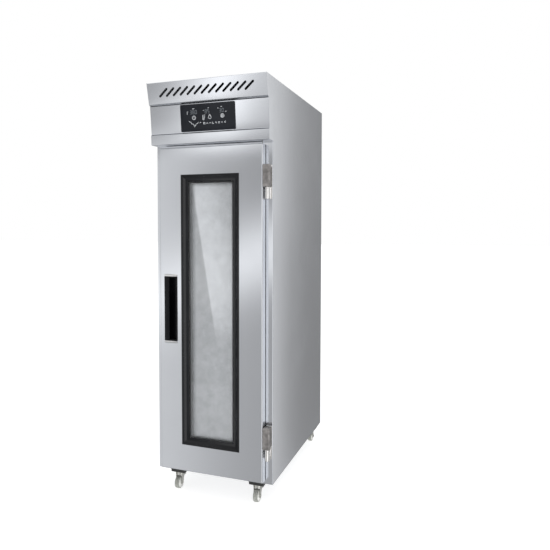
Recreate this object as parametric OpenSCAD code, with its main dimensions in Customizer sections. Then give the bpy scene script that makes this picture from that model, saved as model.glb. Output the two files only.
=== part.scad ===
// Single-door proofing cabinet: an insulated stainless steel cabinet on casters, with a
// glazed door, thirteen levels of tray runners, a fan, heaters and a water pan behind a
// duct panel, and a leaning header that holds the controls.
// Millimetres. The origin is on the floor, at the middle of the cabinet's bounding box.
// +X is to the right as seen from the front, +Y to the back, +Z up.

/* [Cabinet] */
// Outer width
cabinet_w = 500; // [490:2:520]
// Height from the bottom edge of the side panels to the top
cabinet_h = 1566; // [1500:2:1640]
// Depth from the front frame to the back panel
body_d = 760; // [750:5:800]
// How far the top of the header leans out past the front frame
header_out = 80; // [78:1:84]
// Height of the header
header_h = 238; // [236:1:244]
// Thickness of the insulated walls
wall = 34; // [32:1:36]
// Thickness of the outer sheet steel
sheet_t = 1.2; // [1:0.1:1.5]
// How far the water inlet and the cable gland stand out of the back
rear_out = 18; // [16:1:24]

/* [Front frame] */
// Width of the upright that the door closes against
stile_w = 44; // [42:1:46]
// Height of the rail under the door opening
sill_h = 40; // [38:1:44]
// Height of the rail over the door opening
head_h = 35; // [32:1:38]

/* [Door] */
// Width of the door
door_w = 440; // [430:2:444]
// Gap under the door, up from the bottom edge of the side panels
door_low_gap = 15; // [12:1:18]
// Gap between the door and the header
door_top_gap = 13; // [10:1:16]
// How far the door's face stands out from the front frame
door_out = 36; // [34:1:38]
// Gap between the door and the front frame, which the gasket fills
gasket_t = 3; // [2.5:0.5:4]

/* [Window] */
// Outer width of the window bezel
window_w = 248; // [230:2:256]
// Outer height of the window bezel
window_h = 1084; // [1000:4:1100]
// Height of the bezel above the door's lower edge
window_up = 109; // [100:1:120]
// Width of the bezel, lip and bevel together
bezel_w = 28; // [26:1:32]

/* [Handle] */
// Width of the recessed handle
handle_w = 58; // [54:1:62]
// Height of the recessed handle
handle_h = 261; // [240:1:280]
// Middle of the handle, across from the middle of the door
handle_x = -171; // [-172:1:-168]
// Middle of the handle above the floor
handle_z = 765; // [700:5:860]

/* [Racks] */
// Number of tray levels
levels = 13; // [9:1:13]
// Height from one level to the next
level_pitch = 88; // [80:1:88]
// Height of the lowest level above the chamber floor
first_level = 88; // [80:1:95]
// Width of the ledge that a tray slides on
ledge_w = 22; // [20:1:24]

/* [Header] */
// Number of slanted air slots
slot_count = 13; // [9:1:13]
// Distance from one slot to the next
slot_pitch = 30; // [28:0.5:31]
// Width of a slot
slot_w = 9; // [6:0.5:10]
// Width of the control glass
control_w = 230; // [220:1:240]
// Height of the control glass
control_h = 104; // [98:1:106]

/* [Casters] */
// Diameter of a wheel
wheel_d = 50; // [48:1:52]
// Width of a wheel
wheel_w = 20; // [18:1:22]
// Height of a caster, floor to the top of its plate
caster_h = 81; // [80:1:84]
// How far the wheel trails behind the swivel
caster_trail = 18; // [16:1:20]
// Height of the channels that carry the casters
channel_h = 11; // [10:1:14]
// Middle of a front caster, out from the middle of the cabinet
front_x = 174; // [170:1:200]
// Middle of a rear caster, out from the middle of the cabinet
rear_x = 205; // [170:1:208]

/* [Hidden] */

$fn = 64;
gap = 0.1;              // clearance between pieces that are fitted side by side
run = 0.05;             // radial clearance of a running fit
liner_t = 1;            // thickness of the inner sheets
bend_r = 2.5;           // outer radius of a sheet bend
bend_steps = 6;         // flats around a bend
lip = 12;               // depth of the folded lips around the door opening

// Heights and depths of the body
half_w = cabinet_w / 2;
inside_w = half_w - sheet_t - gap;
body_z = caster_h + channel_h;
top_z = body_z + cabinet_h;
header_z = top_z - header_h;
total_d = header_out + body_d + rear_out;
frame_y = header_out - total_d / 2;
back_y = frame_y + body_d;

// Door opening and chamber
mouth_x = half_w - stile_w;
mouth_low = body_z + sill_h;
mouth_high = header_z - head_h;
liner_x = half_w - wall;
liner_y = frame_y + 2 * lip;
liner_back = back_y - wall;
duct_y = frame_y + 640;

// Front line of the header, as seen from the side: [out from the frame, down from the top]
louvre_top = [header_out, 0];
louvre_low = [header_out - 18, 80];
control_top = [header_out - 26, 86];
control_low = [header_out - 37, 197];
lower_top = [header_out - 33, 199];
lower_low = [header_out - 35, header_h];
louvre_lean = atan((louvre_top.x - louvre_low.x) / (louvre_low.y - louvre_top.y));
control_lean = atan((control_top.x - control_low.x) / (control_low.y - control_top.y));

// Door
door_x = door_w / 2;
door_z0 = body_z + door_low_gap;
door_z1 = header_z - door_top_gap;
door_front = frame_y - door_out;
door_back = frame_y - gasket_t;
skin_t = 1;
skin_r = 4;

// Window, from the door's face inwards
window_z = door_z0 + window_up + window_h / 2;
bezel_lip = 7;          // flat outer rim of the bezel
bezel_proud = 3;        // how far the bezel stands out of the door's face
bezel_depth = 12;       // how far the glass lies behind the door's face
cut_in = 7;             // how far the door's cut-out lies inside the bezel's outer edge
pane_t = 4;
cut_w = window_w - 2 * cut_in;
cut_h = window_h - 2 * cut_in;
pane_w = cut_w - 6;
pane_h = cut_h - 6;
spacer_w = 14;
spacer_show = 6;        // how much of the spacer shows inside the bezel
outer_pane_y = door_front + bezel_depth;
inner_pane_y = door_back - 2 - pane_t;

// Handle
handle_deep = 26;       // depth of the handle's cup
handle_rim = 3;         // width of the rim that covers the edge of the cut-out
lip_deep = 8;           // depth of the lip that is folded in round the cut-out
grip_w = 19;            // width of the bar that the fingers pull on

// Hinges: the axis runs up beside the door
hinge_x = door_x + 16;
hinge_y = frame_y - 25;
hinge_frame_h = 45;     // knuckle on the cabinet
hinge_door_h = 84;      // knuckle on the door
hinge_h = hinge_frame_h + hinge_door_h + 0.5;
hinge_z = [body_z + 103, body_z + 1108];
pin_r = 4;

// Casters
front_y = frame_y + 49;
rear_y = back_y - 38;
caster_at = [[-front_x, front_y], [front_x, front_y], [-rear_x, rear_y], [rear_x, rear_y]];
plate_s = 64;
plate_t = 3;
race_h = 8;
fork_top = caster_h - plate_t - race_h - 0.5;
fork_t = 2.5;
kingpin_r = 4;
axle_r = 4;
axle_z = wheel_d / 2;

// Fan
fan_z = mouth_high - 200;
fan_r = 75;
fan_hole_r = 88;
shaft_r = 4;
motor_y = liner_back - 46;

// Fittings
inlet_x = 75;
inlet_z = mouth_low + 78;
inlet_r = 13.2;         // half the 26.4 mm outside diameter of a 3/4 inch pipe thread
pipe_r = 6;
drain_x = -120;
drain_y = liner_back - 40;
drain_r = 9;            // the spigot under the base
drain_tube_r = 8;       // the tube through the floor
gland_x = -150;
gland_z = header_z + 60;
gland_r = 10;
screw_r = 2;

// ---------- helpers ----------

function unit(v) = v / norm(v);
function left_of(v) = [-v.y, v.x];

// Points of one side of a bent sheet. The path gives the corners of its outer side, the
// side asked for lies off to the left, and each corner is an arc of radius r on the path.
function sheet_side(path, r, off) = [
    for (i = [0 : len(path) - 1])
        let (
            ahead = i < len(path) - 1 ? unit(path[i + 1] - path[i]) : unit(path[i] - path[i - 1]),
            behind = i > 0 ? unit(path[i] - path[i - 1]) : ahead,
            turn = atan2(cross(behind, ahead), behind * ahead),
            hand = sign(turn),
            n0 = left_of(behind),
            n1 = left_of(ahead),
            centre = path[i] + hand * r * (n0 + n1) / (1 + n0 * n1),
            a0 = atan2(n0.y, n0.x)
        )
        each abs(turn) < 0.01
            ? [path[i] + off * n0]
            : [for (k = [0 : bend_steps])
                let (a = a0 + turn * k / bend_steps)
                centre - (hand * r - off) * [cos(a), sin(a)]]
];

function backwards(list) = [for (i = [len(list) - 1 : -1 : 0]) list[i]];

// Outline of a sheet of thickness t, folded along the path
function sheet(path, t = sheet_t, r = bend_r) =
    concat(sheet_side(path, r, 0), backwards(sheet_side(path, r, t)));

// Extrusions along the three axes: a profile is drawn in XY, YZ or XZ
module along_z(z0, z1) {
    translate([0, 0, z0]) linear_extrude(z1 - z0) children();
}

module along_x(x0, x1) {
    translate([x0, 0, 0]) rotate([90, 0, 90]) linear_extrude(x1 - x0) children();
}

module along_y(y0, y1) {
    translate([0, y1, 0]) rotate([90, 0, 0]) linear_extrude(y1 - y0) children();
}

module box(low, high) {
    translate(low) cube(high - low);
}

// Cylinder from y0 to y1 at x, z
module rod_y(x, z, r, y0, y1) {
    translate([x, y1, z]) rotate([90, 0, 0]) cylinder(r = r, h = y1 - y0);
}

// Cylinder from x0 to x1 at y, z
module rod_x(y, z, r, x0, x1) {
    translate([x0, y, z]) rotate([0, 90, 0]) cylinder(r = r, h = x1 - x0);
}

module both_sides() {
    children();
    mirror([1, 0, 0]) children();
}

// Rectangle with round corners, about the origin
module round_rect(w, h, r) {
    square([w - 2 * r, h], center = true);
    square([w, h - 2 * r], center = true);
    for (x = [-1, 1], y = [-1, 1]) {
        translate([x * (w / 2 - r), y * (h / 2 - r)]) circle(r);
    }
}

// One bar of a frame, with its ends cut to 45 degrees. The profile is drawn as
// [depth, distance in from the outer edge].
module mitred_bar(length, deep) {
    intersection() {
        along_x(-length / 2, length / 2) children();
        along_y(-total_d, total_d)
            polygon([[-length / 2, 0], [length / 2, 0], [length / 2 - deep, deep], [deep - length / 2, deep]]);
    }
}

// Four mitred bars round a rectangle, about the origin
module mitred_frame(w, h, deep) {
    for (side = [0, 2]) {
        rotate([0, 90 * side, 0]) translate([0, 0, -h / 2]) mitred_bar(w, deep) children();
        rotate([0, 90 * side + 90, 0]) translate([0, 0, -w / 2]) mitred_bar(h, deep) children();
    }
}

// Places of the frame seen from the side: [y, z] of a point of the header's front line
function header_point(p) = [frame_y - p.x, top_z - p.y];

// Moves children onto a leaning band of the header: local X across, local Z up the band,
// local -Y out of it
module on_band(low, high, lean) {
    middle = (header_point(low) + header_point(high)) / 2;
    translate([0, middle.x, middle.y]) rotate([lean, 0, 0]) children();
}

// ---------- outer shell ----------

module side_wall() {
    front = [header_point(louvre_top), header_point(louvre_low),
        header_point([control_top.x, louvre_low.y + 5]), header_point(control_low),
        header_point(lower_top), header_point(lower_low), [frame_y + lip, header_z]];
    along_x(half_w - sheet_t, half_w)
        polygon(concat([[back_y, top_z]], sheet_side(front, 1.5, 0), [[frame_y + lip, body_z], [back_y, body_z]]));
}

module side_panel() {
    side_wall();
    along_z(body_z, header_z)
        polygon(sheet([[mouth_x, frame_y + lip], [mouth_x, frame_y], [half_w, frame_y],
            [half_w, frame_y + 2 * lip]]));
}

module right_side_panel() {
    color("gainsboro") side_panel();
}

module left_side_panel() {
    color("gainsboro") mirror([1, 0, 0]) side_panel();
}

module top_panel() {
    color("silver")
        box([-inside_w, frame_y - header_out + 30 + gap, top_z - sheet_t], [inside_w, back_y, top_z]);
}

// Thirteen slanted air slots
module air_slots() {
    reach = 40;
    slant = 50.5;
    for (i = [0 : slot_count - 1]) {
        translate([(i - (slot_count - 1) / 2) * slot_pitch, 0, 0]) rotate([0, slant, 0]) {
            box([-slot_w / 2, -5, -reach / 2], [slot_w / 2, 10, reach / 2]);
            for (end = [-1, 1]) {
                rod_y(0, end * reach / 2, slot_w / 2, -5, 10);
            }
        }
    }
}

module louvre_fascia() {
    low = header_point(louvre_low);
    top = header_point(louvre_top);
    color("lightgray") difference() {
        along_x(-inside_w, inside_w)
            polygon(sheet([top + [30, 0], top, low, low + [8, -5]]));
        on_band(louvre_low, louvre_top, louvre_lean) air_slots();
    }
}

module control_fascia() {
    low = header_point(control_low);
    top = header_point(control_top);
    color("lightgray") difference() {
        along_x(-inside_w, inside_w)
            polygon(sheet([top + [16, 0], top, low, low + [14, 0]]));
        on_band(control_low, control_top, control_lean)
            box([-control_w / 2 + 9, -5, -control_h / 2 + 7], [control_w / 2 - 9, 10, control_h / 2 - 7]);
    }
}

module lower_fascia() {
    top = header_point(lower_top);
    low = header_point(lower_low);
    color("lightgray") union() {
        along_x(-inside_w, inside_w)
            polygon(sheet([top + [13, 0], top, low, [frame_y + 20, header_z]]));
        along_x(gap - mouth_x, mouth_x - gap)
            polygon(sheet([[frame_y - 15, header_z], [frame_y, header_z], [frame_y, mouth_high],
                [frame_y + lip, mouth_high]]));
    }
}

module header_floor() {
    color("silver")
        box([-inside_w, frame_y + 20 + gap, header_z], [inside_w, back_y - sheet_t - gap, header_z + sheet_t]);
}

// Screws that hold the covers of the back: [x, z]
cover_screws_at = [for (x = [-225, 0, 225], z = [body_z + 30, header_z - 40, header_z + 10, top_z - 18]) [x, z]];

module cover_holes() {
    for (p = cover_screws_at) {
        rod_y(p.x, p.y, screw_r + run, back_y - 10, back_y + 10);
    }
}

module header_back_cover() {
    color("silver") difference() {
        box([-inside_w, back_y - sheet_t, header_z - 15 + gap], [inside_w, back_y, top_z - sheet_t - gap]);
        cover_holes();
        rod_y(gland_x, gland_z, gland_r + run, back_y - 10, back_y + 10);
        for (i = [0 : 9], j = [0, 1]) {
            translate([-10 + 20 * i, 0, header_z + 90 + 60 * j])
                along_y(back_y - 10, back_y + 10) round_rect(6, 44, 2.9);
        }
    }
}

module back_panel() {
    color("silver") difference() {
        box([-inside_w, back_y - sheet_t, body_z], [inside_w, back_y, header_z - 15]);
        cover_holes();
        rod_y(inlet_x, inlet_z, pipe_r + run, back_y - 10, back_y + 10);
    }
}

module base_panel() {
    color("silver") difference() {
        union() {
            along_x(gap - mouth_x, mouth_x - gap)
                polygon(sheet([[frame_y + lip, mouth_low], [frame_y, mouth_low], [frame_y, body_z],
                    [frame_y + 30, body_z]]));
            box([-inside_w, frame_y + lip + gap, body_z], [inside_w, back_y - sheet_t - gap, body_z + sheet_t]);
        }
        translate([drain_x, drain_y, body_z - 5]) cylinder(r = drain_tube_r + run, h = 10);
    }
}

module caster_channels() {
    half = plate_s / 2;
    color("dimgray") for (at = caster_at) {
        along_y(at.y - half - 1, at.y + half + 1)
            translate([at.x, 0])
                polygon(sheet([[-half, body_z], [-half, caster_h], [half, caster_h], [half, body_z]], 2.5, 4));
    }
}

// ---------- insulated chamber ----------

// Plastic strips that part the outer frame from the chamber's warm sheets
module breaker_strips() {
    thick = liner_x + liner_t - mouth_x;
    color("dimgray") {
        both_sides()
            box([mouth_x, frame_y + lip, mouth_low + 0.2], [mouth_x + thick, liner_y, mouth_high - 0.2]);
        box([-mouth_x - thick, frame_y + lip, mouth_high], [mouth_x + thick, liner_y, mouth_high + thick]);
        box([-mouth_x - thick, frame_y + lip, mouth_low - thick], [mouth_x + thick, liner_y, mouth_low]);
    }
}

module side_liners() {
    color("lightsteelblue") both_sides()
        box([liner_x, liner_y, mouth_low - liner_t], [liner_x + liner_t, liner_back, mouth_high + liner_t]);
}

module back_liner() {
    edge = liner_x + liner_t;
    color("lightsteelblue") difference() {
        box([-edge, liner_back, mouth_low - liner_t], [edge, liner_back + liner_t, mouth_high + liner_t]);
        rod_y(inlet_x, inlet_z, pipe_r + run, liner_back - 5, liner_back + 5);
    }
}

module ceiling_liner() {
    color("lightsteelblue")
        box([gap - liner_x, liner_y, mouth_high], [liner_x - gap, liner_back, mouth_high + liner_t]);
}

module floor_liner() {
    color("lightsteelblue") difference() {
        box([gap - liner_x, liner_y, mouth_low - liner_t], [liner_x - gap, liner_back, mouth_low]);
        translate([drain_x, drain_y, mouth_low - 5]) cylinder(r = drain_tube_r + run, h = 10);
    }
}

module insulation_boards() {
    edge = liner_x + liner_t;
    low = body_z + sheet_t + gap;
    high = header_z - gap;
    color("khaki") difference() {
        union() {
            both_sides()
                box([edge + gap, liner_y, low], [inside_w, back_y - sheet_t - gap, high]);
            box([gap - edge, liner_back + liner_t + gap, low], [edge - gap, back_y - sheet_t - gap, high]);
            box([gap - edge, liner_y + gap, mouth_high + liner_t + gap], [edge - gap, liner_back, high]);
            box([gap - edge, liner_y + gap, low], [edge - gap, liner_back, mouth_low - liner_t - gap]);
        }
        rod_y(inlet_x, inlet_z, pipe_r + run, liner_back, back_y);
        translate([drain_x, drain_y, body_z]) cylinder(r = drain_tube_r + run, h = sill_h);
        cover_holes();
    }
}

// ---------- tray racks ----------

function level_z(i) = mouth_low + first_level + i * level_pitch;
upright_y = [frame_y + 130, frame_y + 530];
upright_deep = 6;

module rack_uprights() {
    face = liner_x - upright_deep;
    color("silver") both_sides() for (y = upright_y) difference() {
        along_z(mouth_low + 20, level_z(levels - 1) + 20)
            polygon(sheet([[liner_x, y + 12], [face, y + 12], [face, y - 12], [liner_x, y - 12]], sheet_t, 2));
        for (i = [0 : levels - 1]) {
            box([face - 1, y - 5, level_z(i) - 14], [face + 2, y + 5, level_z(i) - 6]);
        }
    }
}

// Ledges that the trays slide on, each hooked into a front and a rear upright
module tray_runners() {
    face = liner_x - upright_deep - gap;
    front = frame_y + 32;
    rear = frame_y + 620;
    color("lightsteelblue") both_sides() for (i = [0 : levels - 1]) {
        z = level_z(i);
        along_y(front, rear)
            polygon(sheet([[face, z - 18], [face, z], [face - ledge_w, z], [face - ledge_w, z - 4]], sheet_t, 2));
        box([face - ledge_w + 4, rear - sheet_t, z - sheet_t], [face - 2, rear, z + 8]);
        for (y = upright_y) {
            box([face - 0.5, y - 4, z - 13], [face + 3, y + 4, z - 7]);
        }
    }
}

// ---------- air, heat and moisture ----------

module duct_panel() {
    half = liner_x - 9;
    color("lightsteelblue") difference() {
        along_z(mouth_low + 70, mouth_high - 12)
            polygon(sheet([[-half, duct_y + 25], [-half, duct_y], [half, duct_y], [half, duct_y + 25]]));
        rod_y(0, fan_z, fan_hole_r, duct_y - 5, duct_y + 5);
        both_sides() for (i = [0 : 17]) {
            translate([half - 45, 0, mouth_low + 130 + i * 45])
                along_y(duct_y - 5, duct_y + 5) round_rect(50, 9, 4.4);
        }
    }
}

module fan_motor() {
    color("gray") difference() {
        union() {
            rod_y(0, fan_z, 42, motor_y, liner_back - 4);
            rod_y(0, fan_z, 55, liner_back - 4, liner_back);
            rod_y(0, fan_z, 14, motor_y - 3, motor_y);
        }
        rod_y(0, fan_z, shaft_r + run, motor_y - 4, motor_y + 24);
    }
}

module fan_rotor() {
    blades = 12;
    plate_y = motor_y - 8;
    color("lightgray") translate([0, 0, fan_z]) {
        rod_y(0, 0, shaft_r, plate_y - 20, motor_y + 22);
        rod_y(0, 0, 14, plate_y - 16, plate_y);
        rod_y(0, 0, fan_r, plate_y - 1.5, plate_y);
        difference() {
            rod_y(0, 0, fan_r, plate_y - 26, plate_y - 24.5);
            rod_y(0, 0, fan_r - 14, plate_y - 27, plate_y - 24);
        }
        for (i = [0 : blades - 1]) {
            rotate([0, i * 360 / blades, 0]) translate([fan_r - 22, 0, 0]) rotate([0, 35, 0])
                box([-13, plate_y - 25, -0.75], [17, plate_y - 1, 0.75]);
        }
    }
}

// A ring of wire about the fan's axis
module wire_ring(ring_r, wire_r, y) {
    translate([0, y, fan_z]) rotate([90, 0, 0]) rotate_extrude() translate([ring_r, 0]) circle(wire_r);
}

module fan_guard() {
    wire = 1.5;
    y = duct_y - 8;
    color("silver") {
        for (ring_r = [22, 44, 66, 94]) {
            wire_ring(ring_r, wire, y);
        }
        for (a = [45 : 90 : 315]) {
            translate([0, y, fan_z]) rotate([0, a, 0]) {
                cylinder(r = wire, h = 94);
                rod_y(0, 94, 3, -2, 8);
            }
        }
    }
}

// A ring heater around the fan and a loop in the water pan
module heating_elements() {
    tube = 4;
    ring_r = 100;
    ring_y = duct_y + 24;
    opening = 16;
    pan_z = mouth_low + 22;
    color("dimgray") {
        translate([0, ring_y, fan_z]) rotate([90, 0, 0]) rotate(90 + opening)
            rotate_extrude(angle = 360 - 2 * opening) translate([ring_r, 0]) circle(tube);
        for (side = [-1, 1]) {
            rod_y(side * ring_r * sin(opening), fan_z + ring_r * cos(opening), tube, ring_y - tube, liner_back);
        }
        translate([-55, liner_back - 40, pan_z]) rotate([0, 0, 90])
            rotate_extrude(angle = 180) translate([14, 0]) circle(tube);
        for (side = [-1, 1]) {
            rod_x(liner_back - 40 + side * 14, pan_z, tube, -55, 50);
            translate([50, liner_back - 40 + side * 14, pan_z - tube]) cylinder(r = tube, h = 60);
        }
    }
}

module water_pan() {
    low = [-100, duct_y + 10, mouth_low];
    high = [100, liner_back - 6, mouth_low + 60];
    color("silver") difference() {
        box(low, high);
        box(low + [1, 1, 1], high + [-1, -1, 5]);
    }
}

module water_inlet() {
    spout_y = liner_back - 22;
    color("goldenrod") difference() {
        union() {
            rod_y(inlet_x, inlet_z, pipe_r, spout_y, back_y);
            rod_y(inlet_x, inlet_z, 17, back_y, back_y + 3);
            rod_y(inlet_x, inlet_z, inlet_r, back_y + 3, back_y + rear_out);
            translate([inlet_x, spout_y, inlet_z - 14]) cylinder(r = pipe_r, h = 20);
        }
        rod_y(inlet_x, inlet_z, pipe_r - 2, spout_y, back_y + rear_out + 1);
        translate([inlet_x, spout_y, inlet_z - 15]) cylinder(r = pipe_r - 2, h = 15);
    }
}

module drain_tube() {
    color("silver") translate([drain_x, drain_y, 0]) difference() {
        union() {
            translate([0, 0, body_z - 34]) cylinder(r = drain_r, h = 34);
            translate([0, 0, body_z]) cylinder(r = drain_tube_r, h = sill_h);
            translate([0, 0, mouth_low]) cylinder(r = drain_r + 6, h = 1);
        }
        translate([0, 0, body_z - 35]) cylinder(r = drain_tube_r - 1.5, h = sill_h + 40);
    }
}

// A slim lamp under the ceiling, just behind the door opening
module lamp_housing() {
    color("whitesmoke")
        box([-90, liner_y + 30, mouth_high - 10], [90, liner_y + 62, mouth_high]);
}

module lamp_lens() {
    color("white") along_x(-84, 84)
        translate([liner_y + 46, mouth_high - 10]) difference() {
            circle(12);
            translate([-20, 0]) square([40, 20]);
        }
}

// Temperature and humidity probe in front of the duct panel
module climate_probe() {
    x = 130;
    z = fan_z + 170;
    color("silver") difference() {
        union() {
            rod_y(x, z, 5, duct_y - 48, duct_y);
            rod_y(x, z, 11, duct_y - 3, duct_y);
        }
        for (i = [0 : 3]) {
            box([x - 6, duct_y - 44 + i * 7, z - 0.9], [x + 6, duct_y - 40 + i * 7, z + 0.9]);
        }
    }
}

// ---------- controls and electrics ----------

module control_glass() {
    color("black") on_band(control_low, control_top, control_lean)
        along_y(-3, -0.05) round_rect(control_w, control_h, 4);
}

module control_housing() {
    x = control_w / 2 - 10;
    z = control_h / 2 - 8;
    color("dimgray") on_band(control_low, control_top, control_lean) difference() {
        box([-x, 0, -z], [x, 34, z]);
        box([2 - x, 2, 2 - z], [x - 2, 40, z - 2]);
    }
}

module control_board() {
    x = control_w / 2 - 14;
    z = control_h / 2 - 12;
    color("darkgreen") on_band(control_low, control_top, control_lean) {
        box([-x, 12, -z], [x, 13.6, z]);
        box([-x + 10, 13.6, -z + 8], [-x + 50, 30, -z + 38]);
        box([10, 13.6, -20], [34, 26, 20]);
        box([x - 40, 13.6, -z + 6], [x - 8, 24, -z + 18]);
    }
}

module power_unit() {
    low = [-70, frame_y + 220, header_z + sheet_t];
    color("lightgray") {
        box(low, low + [150, 110, 6]);
        box(low + [8, 10, 6], low + [62, 100, 78]);
        box(low + [70, 10, 6], low + [100, 100, 66]);
        for (i = [0 : 3]) {
            box(low + [106, 12 + i * 22, 6], low + [142, 30 + i * 22, 40]);
        }
    }
}

// Nylon gland for the power cable
module cable_gland() {
    inner = back_y - sheet_t;
    color("dimgray") difference() {
        union() {
            rod_y(gland_x, gland_z, gland_r, inner - 12, back_y);
            translate([gland_x, back_y + 7, gland_z]) rotate([90, 0, 0]) cylinder(r = 14, h = 7, $fn = 6);
            rod_y(gland_x, gland_z, 11.5, back_y + 7, back_y + rear_out);
            translate([gland_x, inner, gland_z]) rotate([90, 0, 0]) cylinder(r = 14, h = 6, $fn = 6);
        }
        rod_y(gland_x, gland_z, 5, inner - 20, back_y + 40);
    }
}

module cover_screws() {
    color("gray") for (p = cover_screws_at) {
        rod_y(p.x, p.y, screw_r, back_y - 6, back_y);
        rod_y(p.x, p.y, 4, back_y, back_y + 2.2);
    }
}

// ---------- hinges ----------

module hinge_frame_leaf() {
    along_z(0, hinge_frame_h) {
        translate([hinge_x, hinge_y]) circle(10);
        translate([hinge_x - 6, hinge_y]) square([12, frame_y - 2 - hinge_y]);
    }
    box([hinge_x - 12, frame_y - 3, 0], [hinge_x + 11, frame_y, hinge_h]);
    translate([hinge_x, hinge_y, 1]) cylinder(r = pin_r, h = hinge_h - 8);
    translate([hinge_x, hinge_y, hinge_frame_h]) cylinder(r = 8, h = 0.4);
}

module hinge_frame_leaves() {
    color("silver") for (z = hinge_z) {
        translate([0, 0, z]) hinge_frame_leaf();
    }
}

// The door's leaf: a cast block around the pin and a plate on the edge of the door
module hinge_door_leaf() {
    low = hinge_frame_h + 0.5;
    left = door_x + gap;
    difference() {
        along_z(low, hinge_h) {
            polygon(sheet_side([[left, hinge_y + 8], [left, hinge_y - 13.5], [hinge_x + 12.5, hinge_y - 13.5],
                [hinge_x + 12.5, hinge_y + 8], [left, hinge_y + 8]], 5, 0));
            translate([left, hinge_y]) square([3, 20]);
            translate([hinge_x, hinge_y]) circle(11.5);
        }
        translate([hinge_x, hinge_y, low - 1]) cylinder(r = pin_r + run, h = hinge_h - 6 - low + 1);
    }
}

module hinge_door_leaves() {
    color("silver") for (z = hinge_z) {
        translate([0, 0, z]) hinge_door_leaf();
    }
}

// ---------- door ----------

// The door's pan, filled, shrunk by inset on its five closed sides
module door_block(inset, back) {
    x = door_x;
    intersection() {
        along_z(door_z0, door_z1)
            polygon(sheet_side([[-x, back], [-x, door_front], [x, door_front], [x, back]], skin_r, inset));
        along_x(-x, x)
            polygon(sheet_side([[back, door_z1], [door_front, door_z1], [door_front, door_z0], [back, door_z0]],
                skin_r, inset));
    }
}

module window_cut(clear) {
    box([-cut_w / 2 - clear, door_front - 20, window_z - cut_h / 2 - clear],
        [cut_w / 2 + clear, frame_y + 20, window_z + cut_h / 2 + clear]);
}

module handle_cut(clear, y1) {
    w = handle_w / 2 - handle_rim + clear;
    h = handle_h / 2 - handle_rim + clear;
    box([handle_x - w, door_front - 20, handle_z - h], [handle_x + w, y1, handle_z + h]);
}

// Lip folded inwards round the opening for the handle, which stiffens the sheet
module handle_lip() {
    difference() {
        handle_cut(gap + skin_t, door_front + lip_deep);
        box([-door_x, door_front - 25, door_z0], [door_x, door_front + skin_t / 2, door_z1]);
    }
}

module door_skin() {
    color("gainsboro") difference() {
        union() {
            difference() {
                door_block(0, door_back - 2);
                door_block(skin_t, door_back - 1);
            }
            handle_lip();
        }
        window_cut(0);
        handle_cut(gap, door_front + lip_deep + 1);
    }
}

module door_liner() {
    x = door_x - skin_t - gap;
    z0 = door_z0 + skin_t + gap;
    z1 = door_z1 - skin_t - gap;
    color("lightsteelblue") difference() {
        box([-x, door_back - 14, z0], [x, door_back, z1]);
        box([liner_t - x, door_back - 15, z0 + liner_t], [x - liner_t, door_back - liner_t, z1 - liner_t]);
        window_cut(0);
    }
}

module door_foam() {
    x = door_x - skin_t - liner_t - 2 * gap;
    z0 = door_z0 + skin_t + liner_t + 2 * gap;
    z1 = door_z1 - skin_t - liner_t - 2 * gap;
    color("khaki") difference() {
        intersection() {
            door_block(skin_t + gap, door_back);
            box([-x, door_front, z0], [x, door_back - liner_t - gap, z1]);
        }
        window_cut(gap);
        handle_cut(gap, door_front + handle_deep + gap);
        handle_cut(2 * gap + skin_t, door_front + lip_deep + gap);
    }
}

// Black bezel: a flat lip outside, then a bevel down to the glass
module window_bezel() {
    face = door_front - bezel_proud;
    glass = outer_pane_y;
    color("black") translate([0, 0, window_z]) mitred_frame(window_w, window_h, bezel_w)
        polygon([[door_front, 0], [face + 1, 0], [face, 1], [face, bezel_lip - 1.5], [face + 1, bezel_lip],
            [face + 1.6, bezel_lip + 1], [glass - 2, bezel_w], [glass, bezel_w], [glass, cut_in + gap],
            [door_front, cut_in + gap]]);
}

module window_inner_frame() {
    deep = 22;
    rim = 5;
    back = door_back + 2;
    color("black") translate([0, 0, window_z]) mitred_frame(cut_w + 2 * rim, cut_h + 2 * rim, deep)
        polygon([[door_back, 0], [back, 0], [back, deep - 4], [door_back - 2, deep],
            [door_back - 2, rim + gap], [door_back, rim + gap]]);
}

module pane(y) {
    box([-pane_w / 2, y, window_z - pane_h / 2], [pane_w / 2, y + pane_t, window_z + pane_h / 2]);
}

module outer_glass() {
    color("lightcyan", 0.5) pane(outer_pane_y);
}

module inner_glass() {
    color("lightcyan", 0.5) pane(inner_pane_y);
}

module glass_spacer() {
    grow = 2 * (spacer_w - spacer_show - bezel_w);
    thick = inner_pane_y - outer_pane_y - pane_t;
    color("darkgray") translate([0, 0, window_z]) mitred_frame(window_w + grow, window_h + grow, spacer_w)
        translate([outer_pane_y + pane_t, 0]) square([thick, spacer_w]);
}

// Plastic cup in the door, hollow behind the grip
module handle_cup() {
    w = handle_w / 2;
    h = handle_h / 2;
    inner_w = w - handle_rim;
    inner_h = h - handle_rim;
    color([0.08, 0.08, 0.09]) translate([handle_x, door_front, handle_z]) difference() {
        union() {
            along_y(-1.5, 0) round_rect(2 * w, 2 * h, 2);
            box([-inner_w, -0.5, -inner_h], [inner_w, handle_deep, inner_h]);
        }
        box([-w + grip_w, -5, 2 - inner_h], [inner_w - 2, handle_deep - 2, inner_h - 2]);
        box([2 - inner_w, 7, 2 - inner_h], [inner_w - 2, handle_deep - 2, inner_h - 2]);
    }
}

// Rounded bar along the free side of the cup
module handle_grip() {
    color([0.1, 0.1, 0.11]) translate([handle_x - handle_w / 2, door_front - 1.5, 0])
        along_z(handle_z - handle_h / 2 + 4, handle_z + handle_h / 2 - 4)
            polygon(sheet_side([[2, 0], [2, -5], [grip_w + 3, -5], [grip_w + 3, 0], [2, 0]], 1.8, 0));
}

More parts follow.
